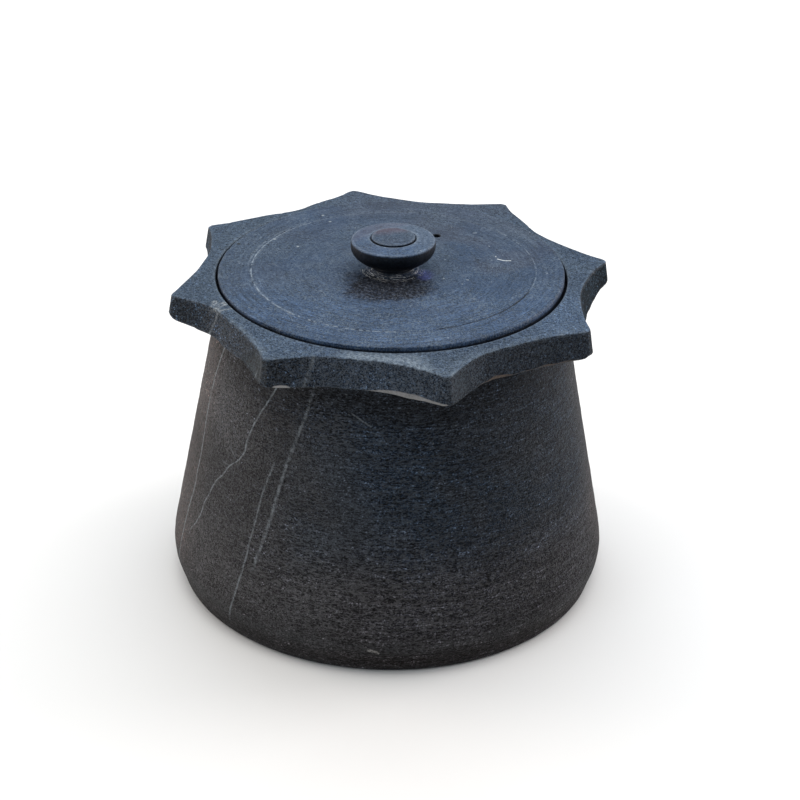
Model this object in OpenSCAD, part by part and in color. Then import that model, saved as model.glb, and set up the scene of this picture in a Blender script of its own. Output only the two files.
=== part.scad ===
// Round stone cooking pot with a leaning wall, a thick eight-pointed rim
// and a turned lid that lies in a recess of the rim.
// Millimetres, +Z up. The origin is the centre of the base, on the table.

/* [Body] */
// Height of the rim's top face above the table
rim_h = 164; // [158:1:172]
// Radius of the flat base
base_r = 106; // [103:0.5:107]
// Radius of the body at its lower edge, if that edge were sharp
belly_r = 112.8; // [112:0.2:114]
// Height of the lower edge, where the wall turns under
belly_z = 15; // [13:1:20]
// How far the turned-under part leans in, from the edge to the base
turn_in = 4.4; // [3:0.2:5]
// Radius of the neck, right under the rim
neck_r = 86.8; // [86:0.2:88]
// Thickness of the wall
wall_t = 11; // [9:0.5:12]
// Thickness of the floor
floor_t = 14; // [10:1:18]

/* [Star rim] */
// Radius of the turned disc that the star is cut from
tip_r = 110; // [107:0.5:110]
// Thickness of the rim at the neck
rim_t = 16; // [15:0.5:18]
// How much thinner the rim is at its points, on the underside
rim_taper = 2; // [1:0.5:3]
// How far the top face falls from the recess to the points
rim_fall = 2; // [0:0.5:3]
// How far the edge leans out, from its top to its foot
lean = 2; // [0:0.5:2]
// Width left blunt at each point
tip_w = 2.2; // [1:0.2:5]
// Bevel along the lower edge
bevel = 1; // [0.6:0.2:1.6]

/* [Lid seat] */
// Radius of the recess that takes the lid
seat_r = 87; // [86.5:0.1:88]
// Depth of the recess
seat_d = 8; // [6:0.5:8]
// Radius of the mouth below the recess
mouth_r = 77; // [74:0.5:78]

/* [Lid] */
// Gap around the lid, on each side
lid_gap = 1.5; // [0.8:0.1:2]
// How far the lid stands above the rim
lid_proud = 1.8; // [1:0.1:3]
// Rounding of the lid's top edge
lid_round = 1.6; // [0.8:0.1:2.5]
// Radius of the fine ring scribed in the lid
scribe_r = 70.5; // [60:0.5:75]
// Diameter of the vent hole
vent_d = 3.8; // [3:0.1:5]
// Distance of the vent hole from the middle
vent_at = 46.8; // [40:0.2:60]
// Direction of the vent hole, from +X
vent_dir = 61; // [0:1:359]

/* [Knob] */
// Radius of the knob's cap
cap_r = 21; // [18:0.5:23]
// Radius of the knob's neck
stem_r = 9.2; // [7:0.2:10]
// Height of the knob's cap above the lid
cap_h = 16.2; // [15:0.2:20]
// Radius of the raised button on the cap
button_r = 11.2; // [8:0.2:13]
// Height of the button
button_h = 1.6; // [1:0.1:3]

/* [Hidden] */
$fn = 96;

// The star was cut by hand, so its points are not quite even:
// direction of each point, counter-clockwise from +X
point_dir = [-31.2, 11.9, 57.4, 101.2, 148.7, 193.6, 238.3, 283.8];
// depth of the hollow that follows each point, as a radius
hollow_r = [94.6, 91.6, 92, 92.2, 94.4, 94.3, 94.5, 95.5];

neck_z = rim_h - rim_t;
point_z = neck_z + rim_taper;
seat_z = rim_h - seat_d;
lid_r = seat_r - lid_gap;
lid_top = rim_h + lid_proud;

function polar(r, a) = [r * cos(a), r * sin(a)];
// point of a cubic curve through four handles
function bez(p, t) = pow(1 - t, 3) * p[0] + 3 * t * pow(1 - t, 2) * p[1]
    + 3 * t * t * (1 - t) * p[2] + pow(t, 3) * p[3];
function curve(p, n) = [for (i = [0 : n]) bez(p, i / n)];
function arc(c, r, a0, a1, n) = [for (i = [0 : n]) c + polar(r, a0 + (a1 - a0) * i / n)];
// centre of the circle through three points
function centre3(a, b, c) =
    let (d = 2 * (a[0] * (b[1] - c[1]) + b[0] * (c[1] - a[1]) + c[0] * (a[1] - b[1])),
         a2 = a * a, b2 = b * b, c2 = c * c)
    [(a2 * (b[1] - c[1]) + b2 * (c[1] - a[1]) + c2 * (a[1] - b[1])) / d,
     (a2 * (c[0] - b[0]) + b2 * (a[0] - c[0]) + c2 * (b[0] - a[0])) / d];

// outer wall: straight from the neck down to the lower edge, a soft edge,
// then the turned-under part and a small round at the base
wall_slope = (belly_r - neck_r) / (neck_z - belly_z);
foot_r = belly_r - turn_in;
foot_slope = turn_in / (belly_z - 1.5);
function quad(a, b, c, n) = [for (i = [0 : n]) let (t = i / n)
    pow(1 - t, 2) * a + 2 * t * (1 - t) * b + t * t * c];
foot_curve = concat(
    [[base_r, 0], [base_r + (foot_r - base_r) * 0.65, 0.4], [foot_r, 1.5]],
    quad([belly_r - foot_slope * 6, belly_z - 6], [belly_r, belly_z],
         [belly_r - wall_slope * 7, belly_z + 7], 6));
// inner wall: parallel to the outer one, with a round lower corner
in_round = 24;
in_low_r = neck_r + wall_slope * (neck_z - floor_t - in_round) - wall_t;
in_corner = arc([in_low_r - in_round, floor_t + in_round], in_round, -90, 6, 10);

module pot_turned() {
    rotate_extrude($fn = 180)
        polygon(concat(
            [[0, 0]], foot_curve,
            // small fillet where the neck meets the rim's underside
            [[neck_r + 0.5, neck_z - 2.6], [neck_r + 0.9, neck_z - 1.2], [neck_r + 2.4, neck_z]],
            [[tip_r + lean - bevel, point_z - 0.1],
             [tip_r + lean - 0.1, point_z + bevel],
             [tip_r + 0.1, rim_h - rim_fall - 0.6],
             [tip_r - 0.5, rim_h - rim_fall]],
            [[seat_r + 0.6, rim_h], [seat_r, rim_h - 0.6], [seat_r, seat_z]],
            [[mouth_r + 0.6, seat_z], [mouth_r, seat_z - 0.6], [mouth_r, neck_z - 4]],
            [for (i = [len(in_corner) - 1 : -1 : 0]) in_corner[i]],
            [[0, floor_t]]));
}

// Hollow between point k and the next one: a cone that is wider at the top,
// so that the cut face leans out towards its foot
module hollow(k) {
    a0 = point_dir[k];
    a1 = point_dir[(k + 1) % 8] + (k == 7 ? 360 : 0);
    half_tip = tip_w / 2 / tip_r * 180 / PI;
    p0 = polar(tip_r, a0 + half_tip);
    p1 = polar(tip_r, a1 - half_tip);
    v = polar(hollow_r[k], (a0 + a1) / 2);
    c = centre3(p0, v, p1);
    r = norm(p0 - c);
    top = rim_h - 1;
    slope = lean / (top - point_z);
    low = neck_z - 0.5;
    // edge of the cutter: the bevel first, then the leaning face
    edge_z = point_z + bevel;
    edge_r = r - slope * (top - edge_z);
    translate([c[0], c[1], 0])
        rotate_extrude($fn = 180)
            polygon([[0, low], [edge_r + (edge_z - low), low], [edge_r, edge_z],
                     [r + slope * (rim_h + 4 - top), rim_h + 4], [0, rim_h + 4]]);
}

module pot() {
    color([0.17, 0.19, 0.22])
    difference() {
        pot_turned();
        for (k = [0 : 7]) hollow(k);
    }
}

module lid_turned() {
    rotate_extrude($fn = 180)
        polygon(concat(
            [[0, seat_z], [lid_r - 0.8, seat_z], [lid_r, seat_z + 0.8]],
            arc([lid_r - lid_round, lid_top - lid_round], lid_round, 0, 90, 5),
            // scribed ring
            [[scribe_r + 0.3, lid_top], [scribe_r, lid_top - 0.3], [scribe_r - 0.3, lid_top]],
            // ring at the foot of the knob, and the stem
            [for (p = [[stem_r + 3.4, 0], [stem_r + 3.1, 0.7], [stem_r + 2.2, 1.1], [stem_r + 0.8, 1.4],
                       [stem_r, 2.2], [stem_r + 0.1, 3.1]]) [p[0], lid_top + p[1]]],
            // underside of the cap, from the stem out to its edge
            curve([[stem_r + 0.4, lid_top + 3.6],
                   [cap_r * 0.68, lid_top + cap_h * 0.27],
                   [cap_r * 0.99, lid_top + cap_h * 0.57],
                   [cap_r, lid_top + cap_h * 0.80]], 8),
            // rounded edge and the top of the cap
            curve([[cap_r - 0.05, lid_top + cap_h * 0.87],
                   [cap_r - 0.3, lid_top + cap_h * 0.95],
                   [cap_r - 0.9, lid_top + cap_h * 0.98],
                   [cap_r - 2.2, lid_top + cap_h]], 4),
            // shallow groove, then the button
            [[button_r + 1.4, lid_top + cap_h + 0.1], [button_r + 0.6, lid_top + cap_h - 0.2],
             [button_r, lid_top + cap_h - 0.2],
             [button_r, lid_top + cap_h + button_h - 0.6],
             [button_r - 0.6, lid_top + cap_h + button_h],
             [0, lid_top + cap_h + button_h + 0.2]]));
}

module lid() {
    color([0.30, 0.34, 0.40])
    difference() {
        lid_turned();
        translate([vent_at * cos(vent_dir), vent_at * sin(vent_dir), seat_z - 1])
            cylinder(h = lid_top - seat_z + 2, d = vent_d, $fn = 48);
    }
}

pot();
lid();
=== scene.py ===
import math

import bpy
import numpy as np
from mathutils import Matrix


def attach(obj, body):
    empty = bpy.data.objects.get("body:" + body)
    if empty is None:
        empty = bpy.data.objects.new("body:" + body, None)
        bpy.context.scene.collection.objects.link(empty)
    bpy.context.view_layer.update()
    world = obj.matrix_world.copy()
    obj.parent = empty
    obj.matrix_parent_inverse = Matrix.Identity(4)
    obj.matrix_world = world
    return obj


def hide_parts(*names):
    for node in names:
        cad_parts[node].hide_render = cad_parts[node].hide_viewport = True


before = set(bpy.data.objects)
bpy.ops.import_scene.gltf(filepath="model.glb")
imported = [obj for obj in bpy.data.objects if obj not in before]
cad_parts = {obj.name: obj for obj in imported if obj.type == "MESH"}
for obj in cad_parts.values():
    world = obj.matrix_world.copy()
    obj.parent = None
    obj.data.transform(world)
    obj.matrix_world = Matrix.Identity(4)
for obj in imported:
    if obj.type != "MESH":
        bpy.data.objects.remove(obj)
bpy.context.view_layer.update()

MM = 0.001
scene = bpy.context.scene
scene.view_settings.view_transform = "Standard"
scene.view_settings.look = "None"


# ---------------------------------------------------------------- camera
def make_camera():
    f, e, d = 2060.4752, 0.49064, 1.05136857
    ox, oy, roll = 389.42847, 386.22389, 0.01666
    right = np.array([1.0, 0.0, 0.0])
    up = np.array([0.0, math.sin(e), math.cos(e)])
    fwd = np.array([0.0, math.cos(e), -math.sin(e)])
    place = np.array([0.0, 0.0, 0.100]) - fwd * d
    ax, ay = math.atan((ox - 400) / f), math.atan((oy - 400) / f)
    r2 = right * math.cos(ax) + fwd * math.sin(ax)
    f2 = -right * math.sin(ax) + fwd * math.cos(ax)
    down = -up * math.cos(ay) + f2 * math.sin(ay)
    f3 = up * math.sin(ay) + f2 * math.cos(ay)
    x = r2 * math.cos(roll) - down * math.sin(roll)
    y = r2 * math.sin(roll) + down * math.cos(roll)
    data = bpy.data.cameras.new("camera")
    data.sensor_width = 36.0
    data.lens = f / 800 * 36.0
    data.clip_start, data.clip_end = 0.05, 50
    cam = bpy.data.objects.new("camera", data)
    scene.collection.objects.link(cam)
    m = Matrix.Identity(4)
    for i in range(3):
        m[i][0], m[i][1], m[i][2], m[i][3] = x[i], -y[i], -f3[i], place[i]
    cam.matrix_world = m
    scene.camera = cam


make_camera()


# ---------------------------------------------------------------- node helper
class Nodes:
    """Short names for shader nodes. Every method returns an output socket."""

    def __init__(self, tree):
        self.tree = tree

    def new(self, kind, **props):
        n = self.tree.nodes.new(kind)
        for k, v in props.items():
            setattr(n, k, v)
        return n

    def put(self, socket, value):
        if isinstance(value, bpy.types.NodeSocket):
            self.tree.links.new(value, socket)
        elif value is not None:
            socket.default_value = value

    def math(self, op, a, b=None, c=None, clamp=False):
        n = self.new("ShaderNodeMath", operation=op, use_clamp=clamp)
        for s, v in zip(n.inputs, (a, b, c)):
            self.put(s, v)
        return n.outputs[0]

    def add(self, a, b):
        return self.math("ADD", a, b)

    def sub(self, a, b):
        return self.math("SUBTRACT", a, b)

    def mul(self, a, b):
        return self.math("MULTIPLY", a, b)

    def mad(self, a, b, c):
        return self.math("MULTIPLY_ADD", a, b, c)

    def top(self, a, b):
        return self.math("MAXIMUM", a, b)

    def low(self, a, b):
        return self.math("MINIMUM", a, b)

    def abs(self, a):
        return self.math("ABSOLUTE", a)

    def vec(self, op, a, b=None, scale=None):
        n = self.new("ShaderNodeVectorMath", operation=op)
        self.put(n.inputs[0], a)
        if b is not None:
            self.put(n.inputs[1], b)
        if scale is not None:
            self.put(n.inputs["Scale"], scale)
        return n.outputs["Value" if op in ("DOT_PRODUCT", "LENGTH", "DISTANCE") else "Vector"]

    def split(self, v):
        n = self.new("ShaderNodeSeparateXYZ")
        self.put(n.inputs[0], v)
        return n.outputs[0], n.outputs[1], n.outputs[2]

    def join(self, x, y, z):
        n = self.new("ShaderNodeCombineXYZ")
        for s, v in zip(n.inputs, (x, y, z)):
            self.put(s, v)
        return n.outputs[0]

    def stretch(self, v, x, y, z):
        return self.vec("MULTIPLY", v, (x, y, z))

    def noise(self, v, scale, detail=2.0, rough=0.5, distort=0.0):
        n = self.new("ShaderNodeTexNoise")
        self.put(n.inputs["Vector"], v)
        n.inputs["Scale"].default_value = scale
        n.inputs["Detail"].default_value = detail
        n.inputs["Roughness"].default_value = rough
        n.inputs["Distortion"].default_value = distort
        return n.outputs[0]

    def cells(self, v, scale, random=1.0, feature="F1"):
        n = self.new("ShaderNodeTexVoronoi", feature=feature)
        self.put(n.inputs["Vector"], v)
        n.inputs["Scale"].default_value = scale
        n.inputs["Randomness"].default_value = random
        return n.outputs["Distance"]

    def crystals(self, v, scale):
        """A random value for each small cell."""
        n = self.new("ShaderNodeTexVoronoi", feature="F1")
        self.put(n.inputs["Vector"], v)
        n.inputs["Scale"].default_value = scale
        split = self.new("ShaderNodeSeparateColor")
        self.put(split.inputs[0], n.outputs["Color"])
        return split.outputs[0]

    def remap(self, v, a, b, c=0.0, d=1.0, smooth=True):
        n = self.new("ShaderNodeMapRange", interpolation_type="SMOOTHSTEP" if smooth else "LINEAR")
        for s, x in zip(n.inputs, (v, a, b, c, d)):
            self.put(s, x)
        return n.outputs[0]

    def band(self, v, a, b, soft):
        """1 between a and b, falling to 0 over soft on each side."""
        return self.mul(self.remap(v, a - soft, a), self.remap(v, b, b + soft, 1.0, 0.0))

    def spot(self, p, at, r0, r1):
        """1 within r0 of a point, 0 past r1."""
        return self.remap(self.vec("DISTANCE", p, at), r0, r1, 1.0, 0.0)

    def mark(self, p, a, b, w0, w1):
        """1 within w0 of the line from a to b, 0 past w1."""
        a, b = np.array(a, float), np.array(b, float)
        ab = b - a
        rel = self.vec("SUBTRACT", p, tuple(a))
        t = self.math("MULTIPLY", self.vec("DOT_PRODUCT", rel, tuple(ab)), 1.0 / float(ab @ ab), clamp=True)
        along = self.vec("SCALE", tuple(ab), scale=t)
        return self.remap(self.vec("DISTANCE", rel, along), w0, w1, 1.0, 0.0)

    def mix(self, fac, a, b, blend="MIX"):
        n = self.new("ShaderNodeMix", data_type="RGBA", blend_type=blend)
        self.put(n.inputs[0], fac)
        for s, v in zip((n.inputs[6], n.inputs[7]), (a, b)):
            if not isinstance(v, bpy.types.NodeSocket) and len(v) == 3:
                v = (*v, 1.0)
            self.put(s, v)
        return n.outputs[2]

    def lerp(self, fac, a, b):
        return self.mad(fac, self.sub(b, a), a)

    def times(self, colour, value):
        """A colour scaled by a value."""
        return self.vec("SCALE", colour, scale=value)

    def attribute(self, name):
        n = self.new("ShaderNodeAttribute", attribute_type="GEOMETRY", attribute_name=name)
        return n.outputs["Fac"]

    def curve(self, v, points):
        """A smooth curve through (x, y) points, both within 0 to 1."""
        n = self.new("ShaderNodeFloatCurve")
        c = n.mapping.curves[0]
        for i, (x, y) in enumerate(points):
            if i < 2:
                c.points[i].location = (x, y)
            else:
                c.points.new(x, y)
        n.mapping.update()
        self.put(n.inputs["Value"], v)
        return n.outputs[0]


# ---------------------------------------------------------------- materials
def shader(name):
    mat = bpy.data.materials.new(name)
    mat.use_nodes = True
    mat.node_tree.nodes.clear()
    g = Nodes(mat.node_tree)
    out = g.new("ShaderNodeOutputMaterial")
    bsdf = g.new("ShaderNodeBsdfPrincipled")
    g.tree.links.new(bsdf.outputs[0], out.inputs[0])
    return mat, g, bsdf


def in_mm(g):
    tc = g.new("ShaderNodeTexCoord")
    return g.vec("SCALE", tc.outputs["Object"], scale=1000.0)


def vein(g, p, z, direction, points, width, low_z, high_z, wander=1.0, core=0.25):
    """A thin sheet of pale mineral that runs through the stone. direction is where it meets the wall, in degrees from +X.
    points are (height, sideways place) in mm: where it lies, seen from outside."""
    a = math.radians(direction)
    side = g.vec("DOT_PRODUCT", p, (-math.sin(a), math.cos(a), 0.0))
    out = g.vec("DOT_PRODUCT", p, (math.cos(a), math.sin(a), 0.0))
    span = 80.0
    place = g.curve(g.mul(z, 1 / 170.0), [(h / 170.0, 0.5 + u / span) for h, u in sorted(points)])
    place = g.mad(place, span, -0.5 * span)
    shake = g.mul(g.sub(g.noise(p, 0.16, 3.0, 0.6), 0.5), 2.2 * wander)
    gap = g.abs(g.add(g.sub(side, place), shake))
    core = g.remap(gap, width * core, width * 1.05, 1.0, 0.0)
    near = g.remap(out, 20.0, 40.0)
    ends = g.mul(g.remap(z, low_z - 8, low_z + 4), g.remap(z, high_z, high_z + 8, 1.0, 0.0))
    return g.mul(g.mul(core, near), ends)


def one(g, v):
    return g.mad(v, 2.0, -1.0)


def stone_shared(g, p):
    """Noises that both materials use."""
    return dict(
        wide=g.noise(p, 0.014, 2.0, 0.5),
        patch=g.noise(g.vec("ADD", p, (40.0, 11.0, 7.0)), 0.045, 3.0, 0.55),
        blotch=g.noise(p, 0.15, 3.0, 0.6),
        coarse=g.noise(g.vec("ADD", p, (3.0, 70.0, 21.0)), 0.60, 1.5, 0.5),
        grain=g.noise(g.stretch(p, 1.0, 1.0, 1.15), 1.25, 1.0, 0.5),
        crystal=g.crystals(g.stretch(p, 0.9, 0.9, 1.15), 1.08),
    )


def threads(g, p, scale, half, keep):
    """Short thin threads, half mm to each side: the level lines of a noise, broken into pieces."""
    n = g.noise(p, scale, 1.5, 0.5)
    thin = half * scale * 0.20
    line = g.remap(g.abs(g.sub(n, 0.5)), thin * 0.3, thin * 1.3, 1.0, 0.0)
    return g.mul(line, g.remap(g.noise(g.vec("ADD", p, (17.0, 5.0, 60.0)), scale * 1.7, 1.0, 0.5), keep, keep + 0.12))


def weave(g, p, keep, seed):
    """Threads of three sizes."""
    q = g.vec("ADD", p, (seed, 7.0 + seed, 90.0 - seed))
    r = g.vec("ADD", p, (60.0 - seed, seed, 20.0))
    both = g.top(threads(g, p, 0.50, 0.54, keep), threads(g, q, 0.85, 0.38, keep + 0.01))
    return g.top(both, g.mul(threads(g, r, 1.25, 0.30, keep + 0.02), 0.8))


def grit(g, terms):
    """A factor of about 1 that varies as the exponent of weighted noises."""
    total = None
    for noise, weight in terms:
        t = g.mul(g.sub(noise, 0.5), weight)
        total = t if total is None else g.add(total, t)
    return g.math("EXPONENT", total)


def pot_material():
    mat, g, bsdf = shader("pot_stone_look")
    p = in_mm(g)
    x, y, z = g.split(p)
    n = stone_shared(g, p)
    top = g.attribute("top")
    worn = g.attribute("worn")
    scrape = g.attribute("scrape")
    rust = g.attribute("rust")

    # turning marks: long thin dashes that run round the wall
    zw = g.add(z, g.mul(one(g, g.noise(p, 0.02, 1.0)), 2.0))
    dashes = g.noise(g.join(g.mul(x, 0.08), g.mul(y, 0.08), g.mul(zw, 1.25)), 1.0, 1.5, 0.55)
    bands = g.noise(g.join(g.mul(x, 0.02), g.mul(y, 0.02), g.mul(zw, 0.40)), 1.0, 2.0, 0.5)
    turned = g.remap(g.add(g.mad(x, 0.010, g.mul(z, -0.003)), g.mul(g.sub(n["wide"], 0.5), 2.0)), -1.00, -0.25, 0.22, 1.0)
    turned = g.mul(turned, g.remap(z, 140.0, 146.0, 1.0, 0.0))

    lying = g.vec("ADD", g.stretch(p, 0.34, 0.34, 1.05), (0.0, 0.0, 200.0))
    worms = g.lerp(turned, weave(g, g.stretch(p, 0.9, 0.9, 1.05), 0.42, 31.0), weave(g, lying, 0.42, 33.0))
    cracks = g.lerp(turned, threads(g, g.vec("ADD", p, (70.0, 20.0, 11.0)), 0.62, 0.44, 0.42), threads(g, g.vec("ADD", lying, (70.0, 20.0, 11.0)), 0.66, 0.42, 0.40))
    pits = g.remap(g.noise(g.vec("ADD", p, (90.0, 3.0, 8.0)), 0.62, 2.0, 0.55), 0.62, 0.72)
    specks = g.remap(g.noise(g.vec("ADD", p, (5.0, 60.0, 30.0)), 0.95, 0.0), 0.80, 0.86)

    # the wall and the sawn sides of the rim
    calm = g.attribute("calm")
    v = grit(g, [(n["grain"], 6.6), (n["crystal"], 1.5), (n["coarse"], 2.4), (n["blotch"], 1.0), (n["patch"], 1.2)])
    v = g.mul(v, grit(g, [(g.lerp(turned, 0.5, dashes), 4.6), (g.lerp(turned, 0.5, bands), 2.2)]))
    v = g.mul(v, g.mad(g.top(pits, cracks), -0.78, 1.0))
    # rougher broken and more threaded towards the left
    left = g.remap(g.mad(one(g, n["patch"]), 25.0, x), -5.0, -65.0)
    v = g.math("POWER", v, g.mad(calm, -0.6, g.mad(left, 0.55, 1.0)))
    middle = g.mul(g.band(x, -32.0, 34.0, 16.0), g.band(z, 62.0, 114.0, 14.0))
    blue = g.remap(g.mad(middle, 0.03, g.add(n["wide"], g.mul(x, 0.0020))), 0.40, 0.62)
    wall = g.mix(blue, (0.0106, 0.0120, 0.0164), (0.0048, 0.0117, 0.0240))
    wall = g.mix(g.remap(n["patch"], 0.55, 0.72, 0.0, 0.6), wall, (0.0134, 0.0130, 0.0150))
    wall = g.mix(g.remap(z, 80.0, 35.0, 0.0, 0.8), wall, (0.0130, 0.0114, 0.0128))
    # painted light: a warm rim light at the far left and right edges of the wall
    around = g.split(g.vec("NORMALIZE", g.join(x, y, 0.0)))[0]
    wall = g.mix(g.remap(around, -0.86, -0.985, 0.0, 0.85), wall, (0.0540, 0.0285, 0.0192))
    wall = g.mix(g.remap(around, 0.93, 0.995, 0.0, 0.70), wall, (0.0240, 0.0150, 0.0125))
    # painted shade: darker and brown towards the foot, and darker right under the rim, less so at the sides
    foot = g.remap(g.add(z, g.mul(one(g, n["patch"]), 8.0)), 5.0, 32.0, 0.90, 0.0)
    wall = g.mix(foot, wall, (0.0056, 0.0029, 0.0024))
    neck = g.mul(g.remap(g.add(z, g.mul(one(g, n["patch"]), 6.0)), 118.0, 140.0), g.remap(z, 147.0, 149.0, 1.0, 0.0))
    wings = g.remap(g.abs(g.add(x, 5.0)), 30.0, 75.0, 1.0, 0.35)
    wall = g.mix(g.mul(g.mul(neck, 0.85), wings), wall, (0.0030, 0.0024, 0.0030))
    side = g.remap(z, 147.5, 149.0)
    # painted light and shade: paler low on the left and paler still on the rim's left, darker high on the right
    lift = g.mad(g.mul(g.remap(z, 85.0, 35.0), g.remap(x, 80.0, 0.0)), 0.42, 1.0)
    lift = g.mul(lift, g.mad(left, -0.60, 1.0))
    lift = g.mad(g.mul(g.remap(x, -50.0, -85.0), g.remap(z, 80.0, 110.0)), 0.30, lift)
    lift = g.mad(g.mul(g.mul(side, g.band(x, -12.0, 18.0, 12.0)), g.remap(y, 0.0, -20.0)), 0.35, lift)
    lift = g.mad(g.mul(g.remap(x, -5.0, 50.0), g.band(z, 66.0, 140.0, 16.0)), -0.30, lift)
    # the rim's sawn sides, with painted shade: darker towards the right
    sawn = g.mix(g.remap(x, -10.0, 40.0), (0.0112, 0.0196, 0.0355), (0.0026, 0.0062, 0.0130))
    sawn = g.mix(g.remap(x, -28.0, -48.0), sawn, (0.0044, 0.0150, 0.0330))
    wall = g.mix(g.mul(side, g.remap(x, -28.0, -48.0, 0.7, 0.9)), wall, sawn)
    wall = g.mix(g.mul(calm, 0.85), wall, (0.045, 0.060, 0.073))
    dull = g.mul(g.top(left, g.remap(z, 85.0, 40.0)), g.mad(side, -0.7, 1.0))
    wall = g.mix(g.remap(v, 0.9, 2.2, 0.0, 0.55), wall, g.mix(dull, (0.0122, 0.0150, 0.0186), (0.0134, 0.0136, 0.0152)))
    # painted shade on some sawn sides of the rim
    sooty = g.attribute("soot")
    wall = g.mix(g.mul(sooty, 0.85), wall, (0.0072, 0.0136, 0.0200))
    wall = g.times(wall, g.mul(v, lift))
    thread = g.mul(g.lerp(side, g.lerp(neck, g.mad(turned, -0.20, 0.70), 0.30), 0.68), g.mad(g.top(calm, sooty), -0.85, 1.0))
    thread = g.mul(g.mul(thread, g.mad(left, 0.20, 1.0)), g.mad(foot, -0.62, 1.0))
    thread = g.mul(thread, g.mad(g.mul(side, g.top(g.remap(x, 25.0, 55.0), g.remap(x, -28.0, -48.0))), -0.40, 1.0))
    wall = g.mix(g.mul(worms, thread), wall, g.times(g.mix(dull, (0.070, 0.083, 0.100), (0.079, 0.078, 0.081)), g.mul(lift, g.mad(left, 1.60, 1.0))))
    wall = g.mix(g.mul(specks, 0.45), wall, (0.13, 0.14, 0.15))

    # the rubbed top face of the rim
    t = grit(g, [(n["grain"], 5.0), (n["crystal"], 1.0), (n["coarse"], 2.4), (n["blotch"], 1.4), (n["patch"], 1.2)])
    face = g.mix(blue, (0.0145, 0.0295, 0.0590), (0.0122, 0.0282, 0.0640))
    face = g.mix(g.remap(n["patch"], 0.48, 0.70, 0.0, 0.7), face, (0.0160, 0.0300, 0.0520))
    face = g.mix(g.mul(g.mul(g.remap(y, 60.0, 85.0), g.remap(x, -45.0, -10.0)), 0.6), face, (0.0310, 0.0300, 0.0565))
    face = g.mix(g.remap(t, 0.9, 1.6, 0.0, 0.85), face, (0.0215, 0.0320, 0.0500))
    # painted light and shade on the rim's top: paler at the front right and the front left, darker at the back right
    face = g.times(face, g.mad(g.mul(g.remap(x, 45.0, 80.0), g.remap(y, -5.0, -40.0)), 0.75, g.mad(g.mul(g.band(x, -75.0, -25.0, 15.0), g.remap(y, -50.0, -70.0)), 0.32, 1.0)))
    face = g.times(face, g.mad(g.mul(g.remap(x, 28.0, 60.0), g.remap(y, 20.0, 50.0)), -0.16, 1.0))
    face = g.times(face, g.mul(t, g.mad(g.top(pits, g.mul(cracks, 0.8)), -0.70, 1.0)))
    face = g.mix(g.mul(worms, 0.58), face, (0.115, 0.155, 0.205))
    colour = g.mix(top, wall, face)

    # pale veins
    mist = g.remap(g.noise(p, 0.33, 3.0, 0.65), 0.32, 0.56, 0.20, 1.0)
    a1 = vein(g, p, z, 243, [(0, -28), (50, -17.6), (65, -13.3), (75, -11.0), (87, -8.7), (102, -5.1), (113, -1.9), (126, 1.9),
                             (138, 4.6), (150, 7.1), (156, 8.6), (163, 10.0), (170, 10.2)], 1.30, 46, 168, 0.6, 0.05)
    a2 = vein(g, p, z, 231, [(0, -12.6), (11, -10.1), (34, -5.0), (49, -2.0), (57, -0.9), (70, 1.1), (81, 2.9), (91, 5.3), (97, 7.0),
                             (170, 30.0)], 0.85, 12, 95, 0.5, 0.1)
    b = vein(g, p, z, 220, [(0, -39), (36.7, -32.6), (46, -25.9), (54, -21.9), (60, -20.2), (65.5, -17.1), (75, -12.2), (80, -7.7),
                            (87, -2.9), (93.7, 3.9), (99.6, 6.9), (103, 6.8), (111, 9.2), (115, 10.5), (129, 17.2), (134, 19.4), (150, 26)],
             0.75, 38, 148, 0.35, 0.15)
    c = vein(g, p, z, 200, [(0, -6), (22.6, -5.0), (31, -5.0), (41.6, -3.3), (50, -1.9), (60, 0.6), (69, 0.4), (79, 1.0), (89, 0.4),
                            (97, -0.3), (108, -0.2), (116, 0.6), (140, 7.0), (155, 12.3), (162, 14.6), (170, 16)], 1.0, 18, 161, 0.5, 0.15)
    on_top = g.lerp(top, 1.0, 0.35)
    lines = g.top(g.mul(g.mul(a1, g.mul(g.remap(z, 150.0, 105.0, 0.45, 0.85), on_top)), g.remap(g.noise(p, 0.30, 2.0, 0.6), 0.34, 0.54, 0.35, 1.0)), g.mul(a2, g.remap(z, 60.0, 35.0, 0.60, 0.85)))
    lines = g.top(lines, g.mul(b, 0.95))
    lines = g.top(lines, g.mul(c, 1.0))
    twig = g.top(g.mark(p, (-78.5, -54.6, 99.0), (-74.6, -62.4, 93.3), 0.2, 0.8), g.mark(p, (-81.6, -55.9, 87.2), (-77.9, -61.2, 87.0), 0.2, 0.8))
    lines = g.top(lines, g.mul(twig, 0.4))
    # the vein's milky end on the rim
    milky = g.top(g.mark(p, (-79.5, -38.5, 163.4), (-86.0, -42.0, 162.8), 0.8, 2.9), g.mark(p, (-84.5, -36.5, 163.0), (-82.5, -46.5, 163.0), 0.6, 2.4))
    milky = g.mul(milky, g.remap(g.noise(p, 0.5, 3.0, 0.7), 0.34, 0.52))
    lines = g.top(lines, milky)
    # short scratches on the wall
    nicks = g.top(g.mark(p, (33.2, -91.3, 43.4), (38.5, -90.7, 37.6), 0.15, 0.7), g.mark(p, (38.5, -90.7, 37.6), (47.9, -96.2, 30.9), 0.15, 0.6))
    nicks = g.top(nicks, g.mark(p, (-17.3, -88.3, 132.1), (-8.3, -90.6, 126.6), 0.1, 0.6))
    lines = g.mul(g.mul(lines, mist), g.remap(n["grain"], 0.30, 0.55, 0.45, 1.0))
    lines = g.top(lines, g.mul(nicks, g.remap(n["grain"], 0.30, 0.55, 0.16, 0.42)))
    colour = g.mix(g.mul(lines, 0.80), colour, g.mix(top, (0.225, 0.250, 0.270), (0.31, 0.34, 0.36)))
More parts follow.
